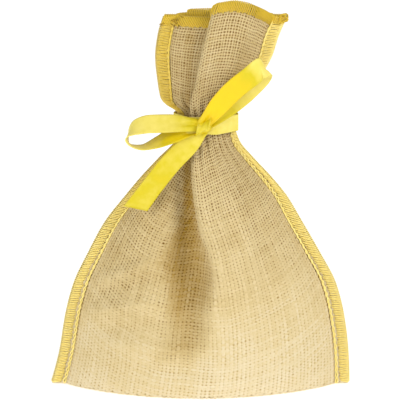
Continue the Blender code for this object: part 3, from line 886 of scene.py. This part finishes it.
class POUCH_OT_jute_sheet(bpy.types.Operator):
    """The jute itself: one closed thin sheet, folded at the bottom and joined along both seams"""

    bl_idname = "pouch.jute_sheet"
    bl_label = "Jute sheet"

    def execute(self, context):
        settings = context.scene.pouch.jute
        rows, behind = (grid.points[::2, ::2] for grid in panels(settings))
        middle = (rows[0] + behind[0][::-1]) / 2
        rows[0], behind[0] = middle, middle[::-1]
        ring = np.concatenate((rows, behind), axis=1)
        levels, around = ring.shape[:2]
        piece = mesh_piece("jute_sheet", ring.reshape(-1, 3), grid_faces(levels, around, True))
        across = np.linspace(0, settings.warp_yarns, around // 2)
        place = np.empty((levels, around, 2))
        place[..., 0] = np.concatenate((across, across + settings.warp_yarns + 1))
        place[..., 1] = np.linspace(0, settings.weft_yarns, levels)[:, None]
        store_places(piece, "weave", place.reshape(-1, 2))
        # The gaps get the same painted shade and painted light as the yarns.
        deeper = np.concatenate((painted_shade_and_light(rows, True), painted_shade_and_light(behind, False)), axis=1)
        store(piece, "gap_shade", deeper / COLLAR_SHADE)
        select_alone(piece)
        bpy.ops.object.mode_set(mode="EDIT")
        bpy.ops.mesh.select_all(action="SELECT")
        bpy.ops.mesh.remove_doubles(threshold=0.02 * MM)
        bpy.ops.object.mode_set(mode="OBJECT")
        thicken(piece, SHEET_THICKNESS)
        finish_piece(piece, gap_shade_material(settings))
        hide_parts("pouch")
        return {"FINISHED"}


def weave(grid, settings, name, warp, material):
    """All the warp or all the weft yarns of one panel."""
    random = np.random.default_rng(YARN_SEED + (0 if warp else 1) + (0 if grid.front else 2))
    points, normals = (values.transpose(1, 0, 2) if warp else values for values in (grid.points, grid.normals))
    paths, up = points[1::2], normals[1::2]
    apart = points[2::2] - points[:-1:2]
    spacing, side = np.linalg.norm(apart, axis=2), unit(apart)
    cover, knots = (settings.warp_cover, 22) if warp else (settings.weft_cover, 16)
    count, length = paths.shape[:2]
    usual = np.median(spacing)
    number = np.arange(count)[:, None]
    station = np.arange(length)[None]
    over = np.where(station % 2 == 1, 1.0 - 2.0 * ((number + station // 2) % 2), 0.0) * (1 if warp else -1)
    tight = np.clip(spacing / usual, 0.0, 1.0)
    rise = over * settings.crimp / MM * (0.45 + 0.55 * tight)
    slub = 1 + SLUB_ALONG * drifting(random, count, length, knots)
    slub += SLUB_BETWEEN * random.uniform(-1, 1, (count, 1))
    open_part = OPEN_SHARE * np.clip((paths[..., 2] - OPEN_START) / OPEN_REACH, 0, 1)
    half_width = 0.5 * cover * (1 - open_part) * np.minimum(spacing, usual * 1.4) * slub
    half_height = 0.5 * settings.yarn_thickness / MM * (0.6 + 0.4 * tight)
    wander = WANDER * np.minimum(spacing, usual) * drifting(random, count, length, 2 * knots)
    wander[:, [0, -1]] = 0
    paths = paths + up * rise[..., None] + side * wander[..., None]
    piece = mesh_piece(name, *tubes(paths, side, up, half_width, half_height))
    split_sides(piece)
    tone = TONE_MIDDLE + TONE_ALONG * drifting(random, count, length, 9)
    tone += TONE_BETWEEN * random.uniform(-1, 1, (count, 1))
    # Painted shade towards the collar and in the hollow, and painted light towards the base.
    tone -= painted_shade_and_light(paths, grid.front)
    share = (2 * number + 1 if warp else station) / (grid.columns - 1)
    ends = grid.seam_ends[None] if warp else grid.seam_ends[1::2, None]
    past = np.maximum(ends[..., 0] - share, share - ends[..., 1])
    # Painted light at the seams, which lifts the shade in their creases.
    tone += SEAM_PAINTED_LIGHT * np.clip(past / SEAM_BLEND + 1.2, 0, 1)
    store(piece, "yarn_tone_and_shading", np.repeat(tone.ravel(), 4))
    finish_piece(piece, material)


def painted_shade_and_light(points, front):
    """The painted shade at each point, towards the collar and in the front's hollow, and painted light, below 0, at the
    base.
    """
    heights = np.clip(points[..., 2], 0, TOP_HEIGHT)
    part = np.clip((heights - COLLAR_START) / COLLAR_REACH, 0, 1)
    deep = COLLAR_SHADE * part * part * (3 - 2 * part)
    deep -= BASE_PAINTED_LIGHT * np.clip((BASE_REACH - heights) / BASE_REACH, 0, 1)
    if front:
        across = points[..., 0]
        shade = named(SHADE_COLUMNS, SHADE, heights)
        fold = named(FOLD_COLUMNS, FRONT_FOLD, heights)
        inside = np.exp(-(((across - shade["middle"]) / shade["reach"]) ** 4))
        past_edge = (across - fold["edge"] - 0.35 * fold["spread"]) / (0.35 + 0.3 * fold["spread"])
        deep += HOLLOW_SHADE * shade["depth"] * inside / (1 + np.exp(np.clip(past_edge, -30, 30)))
        deep += LEFT_DEEPER * np.clip(-across / LEFT_REACH, 0, 1)
    return deep


class POUCH_OT_weave(bpy.types.Operator):
    """The warp and weft yarns, each one passing over and under the others"""

    bl_idname = "pouch.weave"
    bl_label = "Woven yarns"

    def execute(self, context):
        settings = context.scene.pouch.jute
        material = yarn_material(settings)
        for grid in panels(settings):
            side = "front" if grid.front else "back"
            weave(grid, settings, f"warp_yarns_{side}", True, material)
            weave(grid, settings, f"weft_yarns_{side}", False, material)
        loose_fibres(panels(settings)[0], material, np.random.default_rng(YARN_SEED + 30))
        return {"FINISHED"}


def sewing_thread(settings, points, thicker=1.0):
    """Points and faces of one sewing thread along a path, kept clear of the surface on which the pouch stands."""
    points = points.reshape(-1, 3)
    points[:, 2] = np.maximum(points[:, 2], LOWEST_THREAD)
    return thread_path(points, settings.thickness / MM / 2 * thicker)


def stitch_count(row, pitch):
    """How many stitches of one length fit along a row of points."""
    return int(np.linalg.norm(np.diff(row, axis=0), axis=1).sum() * MM / pitch)


def steep(grid, own_right, up):
    """How near places up a seam are to the steep stretch below the neck, from 0 to 1."""
    height = grid.up_panel(grid.points[:, -1 if own_right else 0, 2], up)
    return np.exp(-(((height - STEEP_MIDDLE) / STEEP_REACH) ** 4))


def seam_overlock(settings, sheets, right, random):
    """One overlock thread along a side seam: it runs over the front, round the edge and over the back."""
    count = stitch_count(sheets[0].points[:, -1 if right else 0], settings.overlock_pitch)
    turns, edges = [], []
    edge_up = SEAM_START + (1 - SEAM_START) * (np.arange(count) + 0.5) / count
    for grid in sheets:
        outer = 1.0 if right == grid.front else 0.0
        start = np.arange(count) + (0.0 if grid.front else 0.5)
        parts = np.array(STITCH_PARTS if grid.front else STITCH_PARTS[::-1])
        slant = (1 - parts) * STITCH_SLANT + STITCH_JITTER * random.uniform(-1, 1, (count, 1))
        up = SEAM_START + (1 - SEAM_START) * (start[:, None] + slant) / count
        wider = STITCH_WIDER * np.clip((up - WIDER_START) / WIDER_REACH, 0, 1)
        if right:
            wider -= STEEP_NARROWER * steep(grid, False, up)
        band = settings.overlock_share * (1 + wider + 0.1 * random.uniform(-1, 1, (count, 1)))
        share = (1 - parts)[None] * band * np.abs(grid.seam_end(right == grid.front, up) - outer)
        turns.append(grid.place(np.abs(outer - share), up, np.full(share.shape, STITCH_LIFT)))
        edges.append(grid.place(np.full(count, outer), edge_up, np.full(count, EDGE_LIFT)))
    middle = (edges[0] + edges[1]) / 2 + np.array((EDGE_OUT if right else -EDGE_OUT, 0.0, 0.0))
    return sewing_thread(settings, np.concatenate((turns[0], middle[:, None], turns[1]), axis=1))


def chain_line(settings, grid, right):
    """A line of chain stitches beside a seam, as two strands that cross between the stitches."""
    own_right = right == grid.front
    station = np.arange(stitch_count(grid.points[:, -1 if own_right else 0], settings.chain_pitch) * CHAIN_STEPS + 1)
    up = SEAM_START + (SEAM_END - SEAM_START) * station / station[-1]
    width = grid.up_panel(np.linalg.norm(np.diff(grid.points, axis=1), axis=2).sum(axis=1), up)
    outward = CHAIN_OUT + (STEEP_OUT * steep(grid, own_right, up) if right else 0.0)
    centre = grid.seam_end(own_right, up) + (outward if own_right else -outward) / width
    swing = np.sin(math.pi * station / CHAIN_STEPS)
    strands = []
    for turn in (1, -1):
        across = centre + turn * swing * settings.chain_width / MM / 2 / width
        lift = CHAIN_LIFT + CHAIN_RISE * turn * np.cos(math.pi * station / CHAIN_STEPS)
        strands.append(sewing_thread(settings, grid.place(across, up, lift), 1.1))
    return joined(strands)


def hem_overlock(settings, grid, random):
    """The overlock thread along a panel's part of the hem: over the outside, the rim and the inside."""
    count = stitch_count(grid.points[-1], settings.overlock_pitch)
    tall = np.linalg.norm(np.diff(grid.points, axis=0), axis=2).sum(axis=0).mean()
    down, lifts, over = np.array(HEM_STITCH).T
    across = (np.arange(count)[:, None] + np.linspace(0, 1, len(down))) / count
    reach = settings.hem_width / MM / tall * (1 + 0.12 * random.uniform(-1, 1, (count, 1)))
    points = grid.place(across, 1 - down * reach, np.broadcast_to(lifts, across.shape))
    points[..., 2] += over
    return sewing_thread(settings, points)


def sewn_piece(name, shape, tone, deeper, material):
    """A piece of sewing thread from points and faces, with how pale it is and how much painted shade it gets towards
    the collar.
    """
    piece = mesh_piece(name, *shape)
    store(piece, "thread_tone", tone - deeper * np.clip((shape[0][:, 2] - 70.0) / 30.0, 0, 1))
    finish_piece(piece, material)


def loose_ends(settings, grid, random):
    """The lump of overlock thread where the hem meets the right seam."""
    corner = grid.place([0.99], [0.996], [0.6])
    turn = np.linspace(0, 2 * math.pi * 4, 50)
    sizes = 1.5 + 0.4 * np.sin(1.7 * turn)
    curl = np.stack((np.cos(turn), 0.7 * np.sin(1.3 * turn + 0.5), np.sin(turn)), axis=1) * sizes[:, None]
    return sewing_thread(settings, corner + curl + random.uniform(-0.15, 0.15, curl.shape))


def loose_fibres(grid, material, random):
    """The few jute fibres that stand out at the hem's left corner."""
    parts = []
    for _ in range(14):
        root = grid.place([random.uniform(0.0, 0.12)], [random.uniform(0.975, 1.0)], [0.4])
        lean = np.array((random.uniform(-1.0, 0.3), random.uniform(-0.5, 0.2), random.uniform(0.0, 0.8)))
        along = np.linspace(0, 1, 7)[:, None]
        bend = np.array((0.0, -0.4, random.uniform(-1.6, 0.4)))
        reach = random.uniform(1.8, 3.6)
        parts.append(thread_path(root + lean * reach * along + bend * along**2, 0.15))
    points, faces = joined(parts)
    piece = mesh_piece("loose_fibres", points, faces)
    store(piece, "yarn_tone_and_shading", np.full(len(points), -0.1))
    finish_piece(piece, material)


class POUCH_OT_stitching(bpy.types.Operator):
    """The yellow overlock along the seams and the hem, and the chain stitches inside the seams"""

    bl_idname = "pouch.stitching"
    bl_label = "Stitching"

    def execute(self, context):
        settings = context.scene.pouch.sewing
        sheets = panels(context.scene.pouch.jute)
        material = thread_material(settings)
        random = np.random.default_rng(YARN_SEED + 20)
        # The left seam's threads get painted shade towards the collar; the right one's get none.
        for side, right, deeper in (("left", False, 0.35), ("right", True, 0.0)):
            sewn_piece(f"overlock_{side}", seam_overlock(settings, sheets, right, random), 0.25, deeper, material)
            lines = [chain_line(settings, grid, right) for grid in sheets]
            sewn_piece(f"chain_stitch_{side}", joined(lines), 0.3, deeper, material)
        hems = [hem_overlock(settings, grid, random) for grid in sheets]
        hems.append(loose_ends(settings, sheets[0], random))
        sewn_piece("overlock_hem", joined(hems), -0.35, 0.0, material)
        return {"FINISHED"}


def ribbon_strip(rows, pleating=1.1, corners=(0.0, 0.0)):
    """A length of satin along a table's rows: its width is drawn in to each row's own by lengthwise pleats.

    corners are how much further than its rows both corners of its end reach.
    """
    numbered = [(place, *row) for place, row in enumerate(rows)]
    stations = np.linspace(0, len(rows) - 1, (len(rows) - 1) * SATIN_STEPS + 1)
    table = read_rows(numbered, stations)
    middle, across, width = table[:, :3], table[:, 3:6], table[:, 6]
    ahead = unit(np.gradient(middle, axis=0))
    across = unit(across - ahead * (across * ahead).sum(axis=1)[:, None])
    normal = np.cross(ahead, across)
    part = np.linspace(-0.5, 0.5, SATIN_SIDES + 1)
    drawn = np.clip(1 - width / SATIN_WIDTH, 0, 1)
    pleat = pleating * drawn[:, None] * np.cos(2 * math.pi * 2 * part)[None] + 0.35 * (0.25 - part**2)[None]
    surface = middle[:, None] + across[:, None] * (part * width[:, None])[..., None]
    surface += normal[:, None] * pleat[..., None]
    cut = np.linspace(0, 1, SATIN_STEPS)[:, None] * (corners[0] * (0.5 - part) + corners[1] * (0.5 + part))[None]
    surface[-SATIN_STEPS:] += ahead[-SATIN_STEPS:, None] * cut[..., None]
    lengths = np.concatenate(([0.0], np.cumsum(np.linalg.norm(np.diff(middle, axis=0), axis=1))))
    return surface, lengths


def neck_outline(gap, sides):
    """The tightest many-sided outline round the neck that stays a gap clear of the jute, seen from above."""
    reached = []
    for height in np.linspace(TURN_MIDDLE - TURN_HEIGHT / 2, TURN_MIDDLE + TURN_HEIGHT / 2, 7):
        for sign in (1, -1):
            line, _, _ = panel_line(height, sign > 0)
            reached.append(line[:, :2] * (sign, -sign))
    points = np.concatenate(reached)
    angles = np.arange(sides) * 2 * math.pi / sides
    facing = np.stack((np.cos(angles), np.sin(angles)), axis=1)
    reach = (points @ facing.T).max(axis=0) + JUTE_THICKNESS / 2 + gap
    following = np.roll(facing, -1, axis=0)
    next_reach = np.roll(reach, -1)
    turn = facing[:, 0] * following[:, 1] - facing[:, 1] * following[:, 0]
    corner_x = (reach * following[:, 1] - next_reach * facing[:, 1]) / turn
    corner_y = (next_reach * facing[:, 0] - reach * following[:, 0]) / turn
    return np.stack((corner_x, corner_y), axis=1)


def ribbon_turn():
    """The turn round the neck, with the creases of a ribbon that is pulled tight."""
    outline = neck_outline(TURN_GAP, TURN_SIDES)
    outline = (outline + np.roll(outline, 1, axis=0) + np.roll(outline, -1, axis=0)) / 3
    loop = np.concatenate((outline, outline[:1]))
    part = np.linspace(-0.5, 0.5, SATIN_SIDES + 1)
    steps = np.linalg.norm(np.diff(loop, axis=0), axis=1)
    lengths = np.concatenate(([0.0], np.cumsum(steps)))
    share = lengths / lengths[-1]
    ahead = unit(np.gradient(loop, axis=0))
    ahead[[0, -1]] = unit(loop[1] - loop[-2])
    normal = np.stack((ahead[:, 1], -ahead[:, 0]), axis=1)
    crease = 0.28 * np.cos(2 * math.pi * (1.5 * part[None] + 1.0 * np.sin(2 * math.pi * share)[:, None] * 0.25))
    crease *= 1 - np.abs(normal[:, :1]) ** 2
    surface = np.empty((len(loop), len(part), 3))
    surface[..., :2] = loop[:, None] + normal[:, None] * crease[..., None]
    surface[..., 2] = TURN_MIDDLE - 0.1 * np.abs(loop[:, :1]) + part[None] * TURN_HEIGHT
    return surface[:, ::-1], lengths


def satin_sheet(surface, lengths, tones):
    """A grid of points as one layer of faces, with places along and across it in millimetres, and its painted shade and
    sheen.

    The tones are spread evenly along it.
    """
    rows, columns = surface.shape[:2]
    place = np.empty((rows, columns, 2))
    place[..., 0] = lengths[:, None]
    place[..., 1] = np.linspace(0, SATIN_WIDTH, columns)[None]
    tone = np.interp(np.linspace(0, len(tones) - 1, rows), np.arange(len(tones)), tones)
    return surface.reshape(-1, 3), grid_faces(rows, columns, False), place.reshape(-1, 2), np.repeat(tone, columns)


def knot_sheet():
    """The pressed lump inside the knot, as rings with creases that run in from the loops."""
    rings, around = 17, 28
    polar = np.linspace(0.04, math.pi - 0.04, rings)[:, None]
    angle = np.linspace(0, 2 * math.pi, around + 1)[None]
    shape = np.stack((np.cos(polar) + 0 * angle, np.sin(polar) * np.cos(angle), np.sin(polar) * np.sin(angle)), axis=-1)
    crease = 1 + 0.07 * np.cos(5 * angle + 3 * polar) + 0.04 * np.cos(9 * angle - 2 * polar)
    surface = np.array(KNOT_CENTRE) + shape * np.array(KNOT_RADII) * crease[..., None]
    return surface, np.linspace(0, 9, rings)


class POUCH_OT_ribbon(bpy.types.Operator):
    """The satin ribbon: its turn round the neck, the knot, two loops and the free end"""

    bl_idname = "pouch.ribbon"
    bl_label = "Satin ribbon"

    def execute(self, context):
        # Each part's tones, spread along it, are painted shade where a strand lies in shade and painted sheen where it
        # catches the light.
        parts = [
            satin_sheet(*ribbon_turn(), (0.6, 0.6)),
            satin_sheet(*knot_sheet(), (0.2, 0.2)),
            satin_sheet(*ribbon_strip(KNOT_STRAP, 0.45), (0.3, 0.4, 0.3)),
            satin_sheet(*ribbon_strip(LEFT_LOOP), (0.1, 0.6, 0.75, 0.75, 0.2, 0.0)),
            satin_sheet(*ribbon_strip(RIGHT_LOOP), (0.2, -0.15, 0.0, 0.6, 0.75, 0.6, 0.3, 0.1)),
            satin_sheet(*ribbon_strip(FREE_END, 1.1, (2.2, -1.6)), (0.15, 0.45, 0.4, 0.3, 0.35)),
        ]
        piece = mesh_piece("satin_ribbon", *joined([part[:2] for part in parts]))
        store_places(piece, "ribbon", np.concatenate([place for _, _, place, _ in parts]))
        store(piece, "satin_shade_and_sheen", np.concatenate([tone for _, _, _, tone in parts]))
        select_alone(piece)
        thicken(piece, SATIN_THICKNESS)
        finish_piece(piece, satin_material(context.scene.pouch.ribbon))
        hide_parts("ribbon")
        return {"FINISHED"}


def area_light(name, place, aim, size, power):
    """A soft square light."""
    light = bpy.data.lights.new(name, "AREA")
    light.size = size
    light.energy = power
    lamp = bpy.data.objects.new(name, light)
    lamp.location = place
    lamp.rotation_euler = (Vector(aim) - Vector(place)).to_track_quat("-Z", "Y").to_euler()
    bpy.context.scene.collection.objects.link(lamp)


class POUCH_OT_stage(bpy.types.Operator):
    """The floor, the lights and the camera"""

    bl_idname = "pouch.stage"
    bl_label = "Stage"

    def execute(self, context):
        settings = context.scene.pouch.stage
        white = (1.0, 1.0, 1.0, 1.0)
        bpy.ops.mesh.primitive_plane_add(size=8.0, location=(0, 0, 0))
        floor = context.object
        floor.name = "floor"
        looks = {"Roughness": 0.9, "Emission Color": white, "Emission Strength": settings.floor_glow}
        material, _, _ = new_material("matt_white_floor", {"Base Color": (*settings.floor, 1.0), **looks})
        floor.data.materials.append(material)

        world = bpy.data.worlds.new("even_light")
        world.use_nodes = True
        background = world.node_tree.nodes["Background"]
        background.inputs["Color"].default_value = white
        background.inputs["Strength"].default_value = settings.sky
        context.scene.world = world
        context.scene.view_settings.view_transform = "Standard"

        aim = Vector((0, 0, CAMERA_AIM * MM))
        area_light("key", (0.75, -0.55, 0.75), aim, 0.5, settings.key_power)
        area_light("fill", (-0.8, -0.7, 0.4), aim, 0.8, settings.fill_power)

        elevation = math.radians(CAMERA_ELEVATION)
        away = Vector((0, -math.cos(elevation), math.sin(elevation)))
        lens = bpy.data.cameras.new("camera")
        lens.sensor_width = SENSOR_WIDTH
        lens.lens = SENSOR_WIDTH * CAMERA_DISTANCE / PICTURE_WIDTH
        camera = bpy.data.objects.new("camera", lens)
        camera.location = aim + away * CAMERA_DISTANCE * MM
        camera.rotation_euler = (-away).to_track_quat("-Z", "Y").to_euler()
        context.scene.collection.objects.link(camera)
        context.scene.camera = camera
        return {"FINISHED"}


class POUCH_PT_panel(bpy.types.Panel):
    """Lists the pouch's pieces and settings"""

    bl_idname = "POUCH_PT_panel"
    bl_label = "Jute pouch"
    bl_space_type = "VIEW_3D"
    bl_region_type = "UI"
    bl_category = "Pouch"

    def draw(self, context):
        for operator in OPERATORS:
            self.layout.operator(operator.bl_idname)
        for group in (context.scene.pouch.jute, context.scene.pouch.sewing, context.scene.pouch.ribbon):
            for name in group.__annotations__:
                self.layout.prop(group, name)


OPERATORS = (
    POUCH_OT_jute_sheet,
    POUCH_OT_weave,
    POUCH_OT_stitching,
    POUCH_OT_ribbon,
    POUCH_OT_stage,
)
CLASSES = (JuteSettings, SewingSettings, RibbonSettings, StageSettings, PouchSettings, *OPERATORS, POUCH_PT_panel)


def register():
    """Adds the classes and the scene's settings."""
    for entry in CLASSES:
        bpy.utils.register_class(entry)
    bpy.types.Scene.pouch = PointerProperty(type=PouchSettings)


def unregister():
    """Takes them away again."""
    del bpy.types.Scene.pouch
    for entry in reversed(CLASSES):
        bpy.utils.unregister_class(entry)


def main():
    """Builds the pouch and its stage."""
    register()
    bpy.ops.pouch.jute_sheet()
    bpy.ops.pouch.weave()
    bpy.ops.pouch.stitching()
    bpy.ops.pouch.ribbon()
    bpy.ops.pouch.stage()

    names = [f"{kind}_yarns_{side}" for side in ("front", "back") for kind in ("warp", "weft")]
    names += ["loose_fibres", "overlock_left", "overlock_right", "overlock_hem"]
    names += ["chain_stitch_left", "chain_stitch_right"]


if __name__ == "__main__":
    main()
